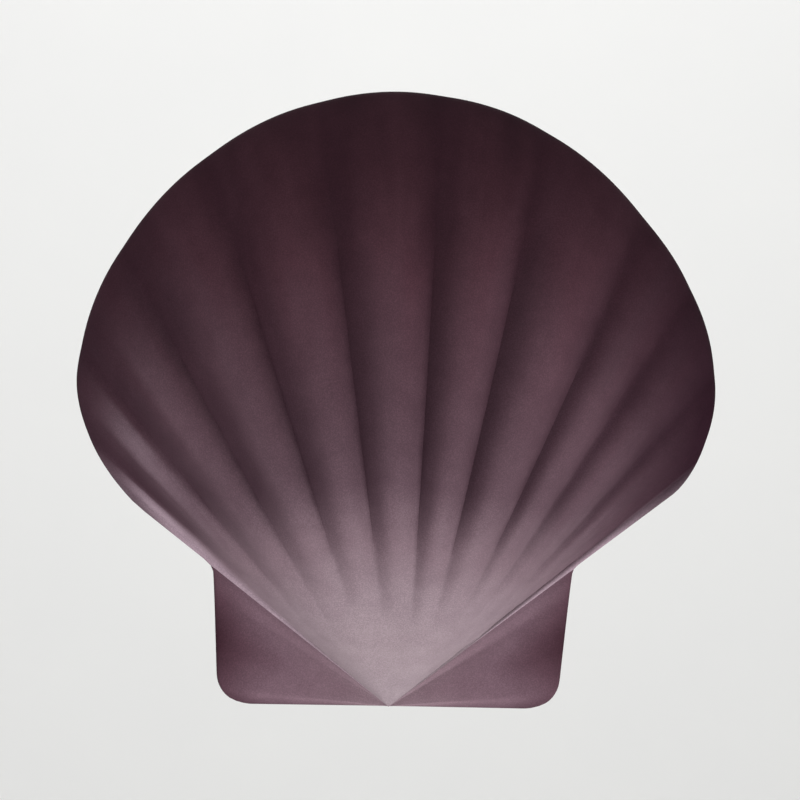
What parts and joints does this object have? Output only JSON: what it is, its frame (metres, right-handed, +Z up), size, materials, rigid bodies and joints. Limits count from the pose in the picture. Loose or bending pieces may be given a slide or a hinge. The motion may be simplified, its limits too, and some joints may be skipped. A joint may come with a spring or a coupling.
{
  "type": "outdoor wall light",
  "caption": "Outdoor wall light: a scallop-shell shade over a sealed LED lamp that throws a narrow beam up the wall; the shade slides off forwards.",
  "frame": {"origin": "on the wall, midway between the wall plate's two fixing holes", "axes": "+X to the viewer's right, +Y into the wall, +Z up"},
  "size_m": [0.2569, 0.1046, 0.2481],
  "materials": {
    "foam_rubber": "matt closed-cell foam",
    "zinc_steel": "zinc plated, satin",
    "black_rubber": "matt",
    "brass": "turned",
    "cream_plastic": "moulded, matt",
    "green_plastic": "lead insulation",
    "brown_plastic": "lead insulation",
    "red_plastic": "lead insulation",
    "white_plastic": "moulded, matt",
    "black_paint": "fine-textured powder coat on cast aluminium",
    "stainless": "turned, satin",
    "aluminium": "satin",
    "phosphor": "silicone over phosphor",
    "mirror": "polished",
    "glass": "clear, tempered",
    "shell_paint": "matt sandy paint on a thin casting, dark aubergine at the rim, pale mauve at the umbo"
  },
  "bodies": {
    "base": {"wall_gasket": "foam_rubber", "wall_plate": "zinc_steel", "cable_grommet": "black_rubber", "earth_stud": "brass", "earth_washer": "zinc_steel", "earth_nut": "brass", "terminal_block": "cream_plastic", "terminal_screws": "zinc_steel", "earth_lead": "green_plastic", "housing_gasket": "foam_rubber", "housing": "black_paint", "housing_screws": "zinc_steel", "led_driver": "white_plastic", "driver_screws": "zinc_steel", "supply_leads": "brown_plastic", "led_leads": "red_plastic", "dowel_pins": "stainless", "lamp_head": "aluminium", "lamp_head_screws": "zinc_steel", "led_board": "aluminium", "board_screws": "zinc_steel", "led_chip": "phosphor", "reflector": "mirror", "lens_gasket": "black_rubber", "glass_lens": "glass", "bezel_ring": "black_paint", "bezel_screws": "zinc_steel"},
    "shade": {"shell_shade": "shell_paint", "bridge_plate": "zinc_steel", "bridge_bushes": "white_plastic", "shell_studs": "brass", "stud_nuts": "zinc_steel", "foot_bracket": "zinc_steel", "foot_inserts": "brass", "foot_screws": "zinc_steel"},
    "left_thumbscrew": {"thumbscrew_left": "stainless"},
    "right_thumbscrew": {"thumbscrew_right": "stainless"}
  },
  "joints": [
    {"name": "shade_slide", "type": "slide", "parent": "base", "child": "shade", "axis": [0, -1, 0], "range_m": [0, 0.12]},
    {"name": "left_thumbscrew_slide", "type": "slide", "parent": "base", "child": "left_thumbscrew", "axis": [0, 0, -1], "range_m": [0, 0.004]},
    {"name": "right_thumbscrew_slide", "type": "slide", "parent": "base", "child": "right_thumbscrew", "axis": [0, 0, -1], "range_m": [0, 0.004]}
  ]
}
